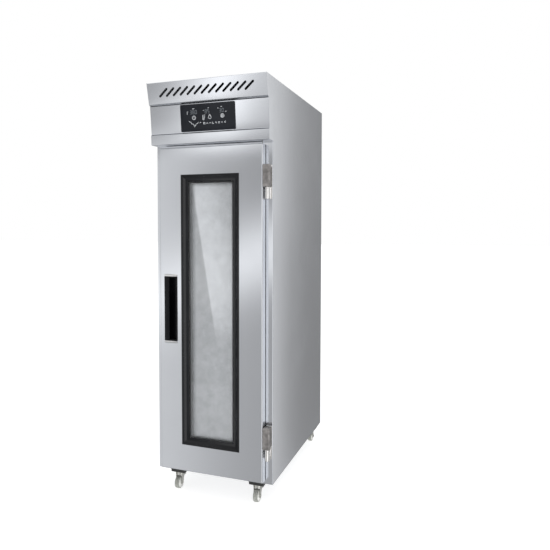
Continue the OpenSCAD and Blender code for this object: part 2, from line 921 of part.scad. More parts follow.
module handle_end_caps() {
    w = handle_w / 2;
    color("silver") translate([handle_x, door_front, handle_z])
        for (end = [0, 180]) {
            rotate([0, end, 0]) translate([0, 0, handle_h / 2])
                along_x(1 - w, w - 1) polygon([[0, 0.2], [-4, 0.2], [-4, 3], [-1, 9], [0, 9]]);
        }
}

// Bulb seal that meets the front frame all round the opening
module door_gasket() {
    deep = 11;
    bulb = [for (a = [0 : 15 : 180]) [frame_y - 0.3 - 1.6 + 1.6 * sin(a), deep / 2 - 4 * cos(a)]];
    color([0.2, 0.2, 0.2]) translate([0, 0, (mouth_low + mouth_high) / 2])
        mitred_frame(2 * (mouth_x + deep), mouth_high - mouth_low + 2 * deep, deep)
            polygon(concat([[door_back, deep], [door_back, 0], [door_back + 0.8, 0]], bulb,
                [[door_back + 0.8, deep]]));
}

// ---------- casters ----------

module at_casters() {
    for (at = caster_at) {
        translate([at.x, at.y, 0]) children();
    }
}

module caster_plates() {
    half = plate_s / 2;
    color("dimgray") at_casters() difference() {
        union() {
            translate([0, 0, caster_h - plate_t]) linear_extrude(plate_t) round_rect(plate_s, plate_s, 6);
            translate([0, 0, fork_top + 0.5]) cylinder(r = 22, h = race_h);
            translate([0, 0, fork_top - 11]) cylinder(r = kingpin_r, h = 12);
            translate([0, 0, fork_top - 11]) cylinder(r = 6.5, h = 5, $fn = 6);
        }
        for (x = [-1, 1], y = [-1, 1]) {
            translate([x * (half - 8), y * (half - 8), caster_h - 5]) cylinder(r = 3 + run, h = 6);
        }
    }
}

module caster_bolts() {
    half = plate_s / 2;
    color("gray") at_casters() for (x = [-1, 1], y = [-1, 1]) {
        translate([x * (half - 8), y * (half - 8), 0]) {
            translate([0, 0, caster_h - plate_t - 4]) cylinder(r = 5.5, h = 4, $fn = 6);
            translate([0, 0, caster_h - plate_t - 1]) cylinder(r = 3, h = plate_t + 0.9);
        }
    }
}

// Fork with its riveted axle: crown, two legs and the axle's heads
module caster_fork() {
    leg_x = wheel_w / 2 + 1.5;
    color("silver") {
        difference() {
            translate([0, 0, fork_top - 4]) cylinder(r = 21, h = 4);
            translate([0, 0, fork_top - 5]) cylinder(r = kingpin_r + run, h = 6);
        }
        both_sides() {
            along_x(leg_x, leg_x + fork_t) {
                translate([caster_trail, axle_z]) circle(8);
                polygon([[-13, fork_top - 1], [19, fork_top - 1], [caster_trail + 7.9, axle_z + 1.5],
                    [caster_trail - 6, axle_z - 5]]);
            }
            rod_x(caster_trail, axle_z, 6, leg_x + fork_t, leg_x + fork_t + 2.5);
        }
        rod_x(caster_trail, axle_z, axle_r, -leg_x - fork_t, leg_x + fork_t);
    }
}

module caster_wheel() {
    r = wheel_d / 2;
    w = wheel_w / 2;
    color("whitesmoke") translate([0, caster_trail, axle_z]) rotate([0, 90, 0]) rotate_extrude()
        polygon([[axle_r + run, -w], [9, -w], [9, -w + 2], [r - 6, -w + 2], [r - 5, -w], [r - 2, -w],
            [r - 0.5, -w + 1.2], [r, -w + 4], [r, w - 4], [r - 0.5, w - 1.2], [r - 2, w], [r - 5, w],
            [r - 6, w - 2], [9, w - 2], [9, w], [axle_r + run, w]]);
}

// The front casters have swung round so that their wheels stand ahead of the pivot
module front_caster(side) {
    translate([side * front_x, front_y, 0]) mirror([0, 1, 0]) children();
}

module rear_caster(side) {
    translate([side * rear_x, rear_y, 0]) children();
}

module front_left_fork() { front_caster(-1) caster_fork(); }
module front_right_fork() { front_caster(1) caster_fork(); }
module rear_left_fork() { rear_caster(-1) caster_fork(); }
module rear_right_fork() { rear_caster(1) caster_fork(); }

module front_left_wheel() { front_caster(-1) caster_wheel(); }
module front_right_wheel() { front_caster(1) caster_wheel(); }
module rear_left_wheel() { rear_caster(-1) caster_wheel(); }
module rear_right_wheel() { rear_caster(1) caster_wheel(); }

// ---------- one line per sub-part ----------

left_side_panel();
right_side_panel();
top_panel();
louvre_fascia();
control_fascia();
lower_fascia();
header_floor();
header_back_cover();
back_panel();
base_panel();
caster_channels();
breaker_strips();
side_liners();
back_liner();
ceiling_liner();
floor_liner();
insulation_boards();
rack_uprights();
tray_runners();
duct_panel();
fan_motor();
fan_rotor();
fan_guard();
heating_elements();
water_pan();
water_inlet();
drain_tube();
lamp_housing();
lamp_lens();
climate_probe();
control_glass();
control_housing();
control_board();
power_unit();
cable_gland();
cover_screws();
hinge_frame_leaves();
hinge_door_leaves();
door_skin();
door_liner();
door_foam();
window_bezel();
window_inner_frame();
outer_glass();
inner_glass();
glass_spacer();
handle_cup();
handle_grip();
handle_end_caps();
door_gasket();
caster_plates();
caster_bolts();
front_left_fork();
front_right_fork();
rear_left_fork();
rear_right_fork();
front_left_wheel();
front_right_wheel();
rear_left_wheel();
rear_right_wheel();
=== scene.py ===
# %% [markdown]
# # A proofing cabinet, dressed piece by piece
#
# A proofing cabinet keeps trays of dough warm and damp. It is an insulated box of brushed
# stainless steel on four casters, with a glazed door and a leaning header for the controls.
# The solids come from a CAD model that is loaded as a fixed frame. This lesson makes their
# finishes, and adds the mouldings, castings and turned parts that need a finer surface.

# %% The fixed frame
import math

import bpy
import numpy as np
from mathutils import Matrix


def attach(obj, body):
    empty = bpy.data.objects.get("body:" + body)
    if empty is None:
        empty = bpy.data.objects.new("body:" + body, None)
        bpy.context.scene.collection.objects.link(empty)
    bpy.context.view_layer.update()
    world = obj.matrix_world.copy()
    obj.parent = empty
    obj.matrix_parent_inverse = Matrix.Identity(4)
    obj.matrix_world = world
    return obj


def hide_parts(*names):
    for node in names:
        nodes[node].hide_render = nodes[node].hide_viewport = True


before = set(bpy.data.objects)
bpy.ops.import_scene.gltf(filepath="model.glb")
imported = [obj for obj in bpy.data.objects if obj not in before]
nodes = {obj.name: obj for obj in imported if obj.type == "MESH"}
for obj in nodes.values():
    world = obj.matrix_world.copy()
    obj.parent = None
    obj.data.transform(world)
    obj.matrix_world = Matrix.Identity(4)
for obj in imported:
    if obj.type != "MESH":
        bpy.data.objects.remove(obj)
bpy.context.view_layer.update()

# %% [markdown]
# ## Where the camera stands
#
# The camera stands a little to the right of the cabinet and looks slightly down. A lens
# shift keeps the cabinet left of the middle without turning the camera, so upright edges
# keep their slope. The shift belongs to the camera's data, not to the scene.

# %% Camera
CAMERA_PLACE = (0.949, -2.427, 1.1003)
CAMERA_TURN = math.radians(20.62)
CAMERA_TILT = math.radians(90 - 2.66)
LENS_MM, SENSOR_MM = 37.66, 36
SHIFT_RIGHT, SHIFT_UP = 0.0404, -0.0418

camera_data = bpy.data.cameras.new("camera")
camera_data.lens, camera_data.sensor_width = LENS_MM, SENSOR_MM
camera_data.shift_x, camera_data.shift_y = SHIFT_RIGHT, SHIFT_UP
camera = bpy.data.objects.new("camera", camera_data)
camera.location = CAMERA_PLACE
camera.rotation_euler = (CAMERA_TILT, 0, CAMERA_TURN)
bpy.context.scene.collection.objects.link(camera)
bpy.context.scene.camera = camera
bpy.context.scene.view_settings.view_transform = "Standard"
print("camera at", CAMERA_PLACE, "lens", LENS_MM, "mm")

# %% [markdown]
# ## Nodes without clutter
#
# A material is a small graph. Typing it node by node is long, so one helper adds a node,
# sets its options and fills its sockets: a plain value is set, and a socket is linked.
# A second helper opens a node group with named inputs and outputs.

# %% Node helpers
def add(tree, kind, inputs=(), **options):
    """Adds a shader node. Inputs maps a socket's name or number to a value or to a socket."""
    node = tree.nodes.new("ShaderNode" + kind)
    for key, value in options.items():
        setattr(node, key, value)
    for key, value in dict(inputs).items():
        if isinstance(value, bpy.types.NodeSocket):
            tree.links.new(value, node.inputs[key])
        else:
            node.inputs[key].default_value = value
    return node


def open_group(name, inputs, outputs):
    """A node group: inputs are (name, kind, default), outputs are (name, kind)."""
    tree = bpy.data.node_groups.new(name, "ShaderNodeTree")
    for label, kind, default in inputs:
        socket = tree.interface.new_socket(label, in_out="INPUT", socket_type="NodeSocket" + kind)
        socket.default_value = default
    for label, kind in outputs:
        tree.interface.new_socket(label, in_out="OUTPUT", socket_type="NodeSocket" + kind)
    return tree, tree.nodes.new("NodeGroupInput").outputs, tree.nodes.new("NodeGroupOutput").inputs


def blank_material(name):
    """A material with an empty graph and its output node."""
    material = bpy.data.materials.new(name)
    material.use_nodes = True
    material.node_tree.nodes.clear()
    return material, material.node_tree, add(material.node_tree, "OutputMaterial")


def place_of(tree):
    """The point being shaded, in metres from the object's own origin."""
    return add(tree, "TexCoord").outputs["Object"]


print("helpers:", add.__name__, open_group.__name__, blank_material.__name__, place_of.__name__)

# %% [markdown]
# ## The studio
#
# Brushed steel has hardly any colour of its own: what is seen on it is the room. A studio
# therefore hangs pale and dark cloths around it. Here each cloth is a grid whose brightness
# is a function of two parameters, kept as a number on each point. The cloths light the
# cabinet and show in the steel, but the camera looks straight through.

# %% A cloth that glows unevenly
def smooth(x, low, high):
    """0 below low, 1 above high, and an S-shaped rise of 3t^2 - 2t^3 between them."""
    t = np.clip((x - low) / (high - low), 0, 1)
    return t * t * (3 - 2 * t)


def hump(x, middle, left, right):
    """exp(-d^2), where d is the distance from the middle over the left or right width."""
    d = (x - middle) / np.where(x < middle, left, right)
    return np.exp(-d * d)


def cloth(name, corner, across, up, glow, cells=64):
    """Point = corner + s * across + t * up, with s and t from 0 to 1; its light is glow(point)."""
    s, t = np.meshgrid(np.linspace(0, 1, cells + 1), np.linspace(0, 1, cells + 1), indexing="ij")
    points = np.array(corner) + s[..., None] * np.array(across) + t[..., None] * np.array(up)
    i, j = np.meshgrid(np.arange(cells), np.arange(cells), indexing="ij")
    a = (i * (cells + 1) + j).ravel()
    faces = np.stack([a, a + cells + 1, a + cells + 2, a + 1], -1)
    mesh = bpy.data.meshes.new(name)
    mesh.from_pydata(points.reshape(-1, 3), [], faces.tolist())
    light = mesh.attributes.new("glow", "FLOAT", "POINT")
    light.data.foreach_set("value", glow(points).ravel().astype(np.float32))
    material, tree, out = blank_material(name)
    value = add(tree, "Attribute", attribute_name="glow").outputs["Fac"]
    lit = add(tree, "Emission", {"Strength": value})
    tree.links.new(lit.outputs[0], out.inputs["Surface"])
    mesh.materials.append(material)
    sheet = bpy.data.objects.new(name, mesh)
    sheet.visible_camera = sheet.visible_shadow = False
    bpy.context.scene.collection.objects.link(sheet)
    print(f"{name}: glow {light.data[0].value:.2f} at its first corner")


# %% [markdown]
# Five cloths hang round the cabinet: one in front, a small one before the header, one beside
# it, one at the corner and one overhead. A smooth step or a bell curve of the place makes
# each bright band in the steel, with its own width and slope.

# %% Where the cloths hang
def front_glow(p):
    """Paler on the left, with a slanting bright band, and bright again far to the right."""
    x, z = p[..., 0], p[..., 2]
    low = 0.95 - (0.41 + 0.11 * smooth(z, 0.7, 1.3)) * smooth(x, -1.15, -0.35)
    band = (0.5 + 0.4 * smooth(x, -1.1, -0.4)) * hump(z, 0.60 + 0.42 * (x + 1.05), 0.2, 0.24)
    return low + band * smooth(x, 0.4, 0.0) + 1.5 * smooth(x, 0.6, 0.8)


def header_glow(p):
    """Grey on the left, a tall bright stripe that leans to the right, a softer grey after it."""
    x, z = p[..., 0], p[..., 2]
    stripe = -0.235 + 0.6 * (z - 1.45)
    foot = 0.3 * hump(x, -0.42, 0.14, 0.2) * smooth(z, 1.5, 1.465)
    return 0.52 + 0.88 * hump(x, stripe, 0.22, 0.16) + 0.26 * smooth(x, -0.3, -0.1) + foot


def side_glow(p):
    """0.3 + exp(-(y - 1.3) / d) from y = 1.3 on, where d is shorter near the floor."""
    y, z = p[..., 1], p[..., 2]
    fall = np.exp(-np.maximum(y - 1.3, 0) / (0.15 + 0.17 * smooth(z, -0.2, 2.0)))
    return 0.3 + fall * smooth(y, 0.7, 1.25)


def even_glow(strength):
    """The same brightness all over."""
    return lambda p: np.full(p.shape[:2], strength)


cloth("front_cloth", (-3.2, -1.9, -1.4), (4.8, 0, 0), (0, 0, 4.6), front_glow, 96)
cloth("header_cloth", (-1.1, -0.95, 1.462), (1.6, 0, 0), (0, 0, 0.5), header_glow)
cloth("side_cloth", (0.85, 0.5, -1.2), (0, 6.0, 0), (0, 0, 4.2), side_glow)
cloth("corner_cloth", (1.65, -2.1, -0.6), (1.0, 2.2, 0), (0, 0, 3.4), even_glow(0.9))
cloth("top_cloth", (-1.4, -1.6, 3.3), (2.8, 0, 0), (0, 2.8, 0), even_glow(1.3))

# %% [markdown]
# The floor is a plain pale sheet that glows a little, so that it stays pale in the soft
# light and still takes the shadow of the wheels. The sky behind is white for the camera
# and a softer grey for everything that the light reaches, which the Light Path node parts.

# %% Floor and sky
FLOOR_HALF = 30

floor_mesh = bpy.data.meshes.new("floor")
floor_corners = [(-FLOOR_HALF, -FLOOR_HALF, 0), (FLOOR_HALF, -FLOOR_HALF, 0),
                 (FLOOR_HALF, FLOOR_HALF, 0), (-FLOOR_HALF, FLOOR_HALF, 0)]
floor_mesh.from_pydata(floor_corners, [], [(0, 1, 2, 3)])
floor = bpy.data.objects.new("floor", floor_mesh)
floor.visible_glossy = False
bpy.context.scene.collection.objects.link(floor)
floor_material, tree, out = blank_material("floor")
shader = add(tree, "BsdfPrincipled", {"Base Color": (0.6, 0.6, 0.6, 1), "Roughness": 0.9,
                                      "Emission Color": (1, 1, 1, 1), "Emission Strength": 0.72})
tree.links.new(shader.outputs[0], out.inputs["Surface"])
floor_mesh.materials.append(floor_material)

world = bpy.data.worlds.new("studio")
bpy.context.scene.world = world
world.use_nodes = True
tree = world.node_tree
tree.nodes.clear()
height = add(tree, "SeparateXYZ", {0: add(tree, "TexCoord").outputs["Generated"]}).outputs["Z"]
shade = add(tree, "MapRange", {"Value": height, "From Min": -0.2, "From Max": 0.9,
                               "To Min": 0.5, "To Max": 0.9})
room = add(tree, "Background", {"Color": (0.97, 0.985, 1, 1), "Strength": shade.outputs[0]})
seen = add(tree, "Background", {"Color": (1, 1, 1, 1), "Strength": 1.0})
camera_ray = add(tree, "LightPath").outputs["Is Camera Ray"]
mixed = add(tree, "MixShader", {0: camera_ray, 1: room.outputs[0], 2: seen.outputs[0]})
tree.links.new(mixed.outputs[0], add(tree, "OutputWorld").inputs["Surface"])
print("studio: five cloths, a floor and a sky")

# %% [markdown]
# ## Effects that several finishes share
#
# Four effects turn up on many pieces, so each is built once as a node group:
# - *grain*: the fine scratches of a brushed sheet, noise that is stretched along one axis;
# - *waves*: the slow swell that every thin sheet has, which bends reflections a little;
# - *handling*: cloudy smears, left by wiping and by hands, that change the gloss;
# - *mottle*: a fine even speckle, for castings, moulded plastic and rubber.

# %% Shared node groups
def noise(tree, vector, scale, detail=2.0, roughness=0.5):
    """Cloudy noise from 0 to 1; detail adds finer and finer octaves."""
    return add(tree, "TexNoise", {"Vector": vector, "Scale": scale, "Detail": detail,
                                  "Roughness": roughness}).outputs["Fac"]


def times(tree, a, b):
    """a * b, where each is a number or a socket."""
    return add(tree, "Math", {0: a, 1: b}, operation="MULTIPLY").outputs[0]


def use(tree, group, **values):
    """Places a group node; values name its inputs."""
    return add(tree, "Group", values, node_tree=group).outputs


PLACE_INPUT = ("Vector", "Vector", (0, 0, 0))

grain_group, given, made = open_group(
    "grain", [PLACE_INPUT, ("Stretch", "Vector", (900, 900, 14)), ("Depth", "Float", 0.00002)],
    [("Height", "Float"), ("Mask", "Float")])
stretched = add(grain_group, "VectorMath", {0: given["Vector"], 1: given["Stretch"]},
                operation="MULTIPLY")
fine = noise(grain_group, stretched.outputs[0], 1.0, 3.0, 0.6)
grain_group.links.new(times(grain_group, fine, given["Depth"]), made["Height"])
grain_group.links.new(fine, made["Mask"])

waves_group, given, made = open_group(
    "waves", [PLACE_INPUT, ("Scale", "Float", 2.0), ("Depth", "Float", 0.001)],
    [("Height", "Float")])
swell = noise(waves_group, given["Vector"], given["Scale"], 0.0)
waves_group.links.new(times(waves_group, swell, given["Depth"]), made["Height"])

handling_group, given, made = open_group(
    "handling", [PLACE_INPUT, ("Scale", "Float", 6.0), ("Amount", "Float", 0.5)],
    [("Mask", "Float")])
clouds = noise(handling_group, given["Vector"], given["Scale"], 5.0, 0.62)
sharper = add(handling_group, "MapRange", {"Value": clouds, "From Min": 0.42, "From Max": 0.72})
handling_group.links.new(times(handling_group, sharper.outputs[0], given["Amount"]), made["Mask"])

mottle_group, given, made = open_group(
    "mottle", [PLACE_INPUT, ("Scale", "Float", 900.0), ("Depth", "Float", 0.00005)],
    [("Height", "Float"), ("Mask", "Float")])
speckle = noise(mottle_group, given["Vector"], given["Scale"], 2.0, 0.55)
mottle_group.links.new(times(mottle_group, speckle, given["Depth"]), made["Height"])
mottle_group.links.new(speckle, made["Mask"])
print("groups:", [g.name for g in bpy.data.node_groups])

# %% [markdown]
# ## Finishes
#
# A finish here is a Principled shader whose colour and gloss move between two values along
# a mask, with a Bump node for relief. Values that are even all over, such as metalness or
# anisotropy, stay on the shader's own sockets, because an exported model keeps them there.

# %% A finish with a changing colour, gloss and relief
def blend_values(tree, mask, low, high):
    """low + mask * (high - low), for two numbers."""
    return add(tree, "MapRange", {"Value": mask, "To Min": low, "To Max": high}).outputs[0]


def blend_colours(tree, mask, low, high):
    """The same for two colours. On a Mix node, sockets 6 and 7 take them and 2 gives the result."""
    return add(tree, "Mix", {0: mask, 6: (*low, 1), 7: (*high, 1)}, data_type="RGBA").outputs[2]


def finish_of(name, colours, gloss, relief, mask, **even):
    """colours and gloss are (low, high) along the mask; relief and mask are functions of the
    graph and the place, giving a height in metres and a number from 0 to 1."""
    material, tree, out = blank_material(name)
    place = place_of(tree)
    amount = mask(tree, place)
    shader = add(tree, "BsdfPrincipled", {
        "Base Color": blend_colours(tree, amount, *colours),
        "Roughness": blend_values(tree, amount, *gloss)})
    if relief:
        bump = add(tree, "Bump", {"Height": relief(tree, place), "Distance": 1.0, "Strength": 1.0})
        tree.links.new(bump.outputs[0], shader.inputs["Normal"])
    for key, value in even.items():
        shader.inputs[key.replace("_", " ")].default_value = value
    tree.links.new(shader.outputs[0], out.inputs["Surface"])
    return material


print("finishes have a colour, a gloss, a relief and a mask")

# %% [markdown]
# ### Brushed stainless steel
#
# The sheets are brushed in one direction before they are folded. Upright on the door and the
# walls, along the header bands: the light smears across the grain. Anisotropy on the shader
# gives that smear, the grain group breaks it up, and the waves group lets it swim a little.
# Smears of handling make the steel a touch duller here and there.

# %% Steel finishes
UPRIGHT, LEVEL = (700, 700, 9), (9, 700, 700)
STAINLESS = (0.60, 0.617, 0.65)
GRAIN_DEPTH, SWELL_DEPTH = 0.0000006, 0.00025


def steel(name, colour, rough, stretch=UPRIGHT, turn=0.0, smear=0.0, swell=0.0, marks=0.35):
    """Brushed metal: stretch and turn give the grain, marks the share of handling smears."""
    def relief(tree, place):
        grain = use(tree, grain_group, Vector=place, Stretch=stretch, Depth=GRAIN_DEPTH)["Height"]
        wave = use(tree, waves_group, Vector=place, Scale=1.6, Depth=swell)["Height"]
        return add(tree, "Math", {0: grain, 1: wave}, operation="ADD").outputs[0]

    def smears(tree, place):
        return use(tree, handling_group, Vector=place, Scale=5.0, Amount=marks)["Mask"]

    dull = tuple(c * 0.95 for c in colour)
    return finish_of(name, (colour, dull), (rough, rough + 0.1), relief, smears,
                     Metallic=1.0, Anisotropic=smear, Anisotropic_Rotation=turn)


upright_steel = steel("upright_steel", STAINLESS, 0.2, smear=0.45, swell=SWELL_DEPTH)
wall_steel = steel("wall_steel", STAINLESS, 0.17, smear=0.2, swell=SWELL_DEPTH)
header_steel = steel("header_steel", STAINLESS, 0.16, LEVEL, 0.25, smear=0.3, swell=SWELL_DEPTH)
inner_steel = steel("inner_steel", (0.52, 0.53, 0.545), 0.34, smear=0.5, swell=SWELL_DEPTH,
                    marks=0.5)
zinc_steel = steel("zinc_steel", (0.56, 0.56, 0.53), 0.3, (60, 60, 60), marks=0.7)
heater_steel = steel("heater_steel", (0.26, 0.24, 0.22), 0.42, (90, 90, 90), marks=0.8)
bright_trim = steel("bright_trim", (0.7, 0.7, 0.7), 0.22, LEVEL, marks=0.5)
hinge_bright = steel("hinge_bright", (0.74, 0.73, 0.72), 0.2, marks=0.5)
spacer_metal = steel("spacer_metal", (0.42, 0.43, 0.44), 0.45, marks=0.3)
brass = steel("brass", (0.62, 0.44, 0.2), 0.3, LEVEL, marks=0.9)
print("materials so far:", len(bpy.data.materials))

# %% [markdown]
# ### Castings, paint, plastic and rubber
#
# A cast or moulded surface is even at arm's length and finely pitted close up. The mottle
# group serves them all: the pits give relief and a faint change of colour, and the clouds of
# the handling group change the gloss. Only the values differ from one piece to the next.

# %% Moulded and cast finishes
def moulded(name, colour, rough, fade=1.35, scale=1200.0, depth=0.00002, cloud=9.0, amount=0.7,
            **even):
    """A pitted surface: fade lightens the colour in the pits, cloud sizes the smears."""
    def pits(tree, place):
        return use(tree, mottle_group, Vector=place, Scale=scale, Depth=depth)["Height"]

    def wear(tree, place):
        fleck = use(tree, mottle_group, Vector=place, Scale=scale * 0.4, Depth=0.0)["Mask"]
        smear = use(tree, handling_group, Vector=place, Scale=cloud, Amount=amount * 2)["Mask"]
        return times(tree, fleck, smear)

    pale = tuple(min(1.0, c * fade + 0.004) for c in colour)
    return finish_of(name, (colour, pale), (rough, min(1.0, rough + 0.16)), pits, wear, **even)


bezel_black = moulded("bezel_black", (0.0035, 0.0038, 0.005), 0.16, 2.0, depth=0.000002,
                      Specular_IOR_Level=0.3)
handle_black = moulded("handle_black", (0.0015, 0.0015, 0.0025), 0.24, 2.0, depth=0.000004,
                       Specular_IOR_Level=0.16)
control_black = moulded("control_black", (0.007, 0.0085, 0.012), 0.07, 1.6, 60.0, 0.0, 14.0, 0.8,
                        Specular_IOR_Level=0.15)
hinge_cast = moulded("hinge_cast", (0.2, 0.19, 0.185), 0.3, 2.2, 260.0, 0.00003, 30.0, 1.0,
                     Metallic=0.85)
seal_rubber = moulded("seal_rubber", (0.03, 0.031, 0.033), 0.62)
dark_steel = moulded("dark_steel", (0.022, 0.023, 0.022), 0.42, 2.2, 500.0)
white_nylon = moulded("white_nylon", (0.93, 0.93, 0.9), 0.38, 0.9, 700.0, 0.00001, 60.0, 1.0)
tyre_grey = moulded("tyre_grey", (0.30, 0.305, 0.28), 0.5, 1.5, 900.0, 0.00002, 90.0, 1.0)
grey_plastic = moulded("grey_plastic", (0.24, 0.24, 0.25), 0.5)
foam_buff = moulded("foam_buff", (0.72, 0.63, 0.34), 0.9, 1.15, 350.0, 0.0003)
board_green = moulded("board_green", (0.02, 0.13, 0.05), 0.4)
motor_grey = moulded("motor_grey", (0.2, 0.205, 0.21), 0.4)
lamp_white = moulded("lamp_white", (0.82, 0.82, 0.8), 0.25, 0.96)
gland_black = moulded("gland_black", (0.02, 0.02, 0.021), 0.5)
mark_white = moulded("mark_white", (0.8, 0.83, 0.86), 0.5, 0.9)
digit_grey = moulded("digit_grey", (0.17, 0.19, 0.21), 0.35, 1.3)
print("materials so far:", len(bpy.data.materials))

# %% [markdown]
# ### Glass
#
# The outer pane is clear. Light has to reach what is behind it, and a path tracer finds that
# hard through glass, so shadow and diffuse rays pass straight through, which Light Path tells.
# The inner pane carries steam: a pale film, cloudier in places. The film is made thin along the
# left and top edges, so the dark behind shows through as a painted shade, and one wide slanting
# band in its upper part is made paler, a painted reflection.

# %% Clear glass
clear_glass, tree, out = blank_material("clear_glass")
smears = use(tree, handling_group, Vector=place_of(tree), Scale=7.0, Amount=0.5)["Mask"]
pane = add(tree, "BsdfPrincipled", {
    "Base Color": (0.97, 0.975, 0.98, 1), "IOR": 1.45, "Transmission Weight": 1.0,
    "Roughness": blend_values(tree, smears, 0.015, 0.08)})
path = add(tree, "LightPath").outputs
passing = add(tree, "Math", {0: path["Is Shadow Ray"], 1: path["Is Diffuse Ray"]},
              operation="MAXIMUM")
through = add(tree, "BsdfTransparent", {"Color": (0.93, 0.935, 0.94, 1)})
glass = add(tree, "MixShader", {0: passing.outputs[0], 1: pane.outputs[0], 2: through.outputs[0]})
tree.links.new(glass.outputs[0], out.inputs["Surface"])
print("clear glass: IOR", pane.inputs["IOR"].default_value)

# %% Steamed glass
# Where the film thins at the left and top edges to let the dark behind show: a painted shade.
PANE_LEFT, PANE_TOP, SHADE_EDGE_WIDTH = -0.096, 1.272, 0.024
SHADE_EDGE_START = PANE_LEFT + 0.004
# Slope, foot and width of the paler slanting band on the film: a painted reflection.
REFLECTION_SLOPE, REFLECTION_FOOT, REFLECTION_WIDTH = -0.165, 0.12, 0.2


def rise(tree, value, low, high):
    """A smooth rise from 0 at low to 1 at high, of a number in the graph."""
    return add(tree, "MapRange", {"Value": value, "From Min": low, "From Max": high},
               interpolation_type="SMOOTHSTEP").outputs[0]


def scaled(tree, value, factor, offset):
    """value * factor + offset, where each is a number or a socket."""
    return add(tree, "Math", {0: value, 1: factor, 2: offset}, operation="MULTIPLY_ADD").outputs[0]


steamed_glass, tree, out = blank_material("steamed_glass")
place = place_of(tree)
axes = add(tree, "SeparateXYZ", {0: place}).outputs
cloudy = noise(tree, place, 30.0, 7.0, 0.68)
drops = noise(tree, place, 150.0, 2.0, 0.6)
lean = scaled(tree, axes["Z"], REFLECTION_SLOPE, REFLECTION_FOOT)
beside = add(tree, "Math", {0: axes["X"], 1: lean}, operation="SUBTRACT").outputs[0]
# A wide band right of a leaning line, only above mid height, made paler: a painted reflection.
painted_reflection_band = times(tree, rise(tree, beside, -0.003, 0.006), rise(tree, beside, REFLECTION_WIDTH, 0.02))
painted_reflection_band = times(tree, painted_reflection_band, rise(tree, axes["Z"], 0.58, 0.82))
# The film grows thin towards the left and top edges so the dark behind shows through: a painted
# shade.
painted_shade_edges = times(tree, rise(tree, axes["X"], SHADE_EDGE_START, SHADE_EDGE_START + SHADE_EDGE_WIDTH),
              rise(tree, axes["Z"], PANE_TOP, PANE_TOP - SHADE_EDGE_WIDTH))
# The paler band lifts the tone of the film here: painted reflection.
tone = scaled(tree, cloudy, 0.7, blend_values(tree, painted_reflection_band, -0.15, 0.42))
tone = scaled(tree, drops, 0.2, tone)
film = add(tree, "BsdfPrincipled", {
    "Base Color": blend_colours(tree, tone, (0.28, 0.288, 0.298), (0.74, 0.755, 0.775)),
    "Roughness": blend_values(tree, cloudy, 0.35, 0.7),
    "Alpha": blend_values(tree, painted_shade_edges, 0.25, 0.97)})
tree.links.new(film.outputs[0], out.inputs["Surface"])
print("materials:", len(bpy.data.materials))

# %% [markdown]
# ## Dressing the CAD pieces
#
# Every folded sheet of the CAD model has the right shape already, down to its bend radii. It
# keeps its mesh and gets a finish in its material slot.

# %% Finishes on the CAD nodes
FINISHES = {
    upright_steel: ["door_skin", "back_panel", "header_back_cover", "top_panel", "base_panel"],
    wall_steel: ["left_side_panel", "right_side_panel"],
    header_steel: ["louvre_fascia", "control_fascia", "lower_fascia", "header_floor"],
    inner_steel: ["side_liners", "back_liner", "ceiling_liner", "floor_liner", "rack_uprights",
                  "tray_runners", "duct_panel", "door_liner", "water_pan", "drain_tube",
                  "climate_probe", "fan_rotor"],
    bright_trim: ["fan_guard"],
    grey_plastic: ["breaker_strips", "control_housing"],
    dark_steel: ["caster_channels"],
    foam_buff: ["insulation_boards", "door_foam"],
    motor_grey: ["fan_motor", "power_unit"],
    heater_steel: ["heating_elements"],
    lamp_white: ["lamp_housing", "lamp_lens"],
    control_black: ["control_glass"],
    board_green: ["control_board"],
    bezel_black: ["window_inner_frame"],
    handle_black: ["handle_cup"],
    spacer_metal: ["glass_spacer"],
    clear_glass: ["outer_glass"],
    steamed_glass: ["inner_glass"],
}
for material, names in FINISHES.items():
    for name in names:
        nodes[name].data.materials.clear()
        nodes[name].data.materials.append(material)
print("dressed:", sum(len(n) for n in FINISHES.values()))

# %% [markdown]
# ## One skin for every new piece
#
# Mouldings, castings and turned parts are all a row of closed loops with a skin stretched
# over them. The loops are an array of (loop, point, xyz), worked out at once. A skin either
# ends in two caps or runs round to where it began, as on a ring or a window frame. The sign
# of the enclosed volume tells whether the faces look outwards; if not, all are turned.

# %% Skins
MM = 0.001


def skin(loops, ring=False):
    """Quads between neighbouring loops; caps at both ends, or a join from the last to the first."""
    loops = np.asarray(loops, float)
    m, n = loops.shape[:2]
    i, j = np.meshgrid(np.arange(m if ring else m - 1), np.arange(n), indexing="ij")
    k, next_j = (i + 1) % m, (j + 1) % n
    quads = np.stack([i * n + j, i * n + next_j, k * n + next_j, k * n + j], -1).reshape(-1, 4)
    points = loops.reshape(-1, 3)
    triangles = np.concatenate([quads[:, [0, 1, 2]], quads[:, [0, 2, 3]]])
    faces = quads.tolist()
    if not ring:
        first, last = np.arange(n)[::-1], np.arange(n) + (m - 1) * n
        fans = [np.stack([np.full(n - 2, c[0]), c[1:-1], c[2:]], -1) for c in (first, last)]
        triangles = np.concatenate([triangles, *fans])
        faces += [first.tolist(), last.tolist()]
    a, b, c = (points[triangles[:, q]] - points.mean(0) for q in range(3))
    volume = (a * np.cross(b, c)).sum()
    if volume < 0:
        faces = [f[::-1] for f in faces]
    return points, faces


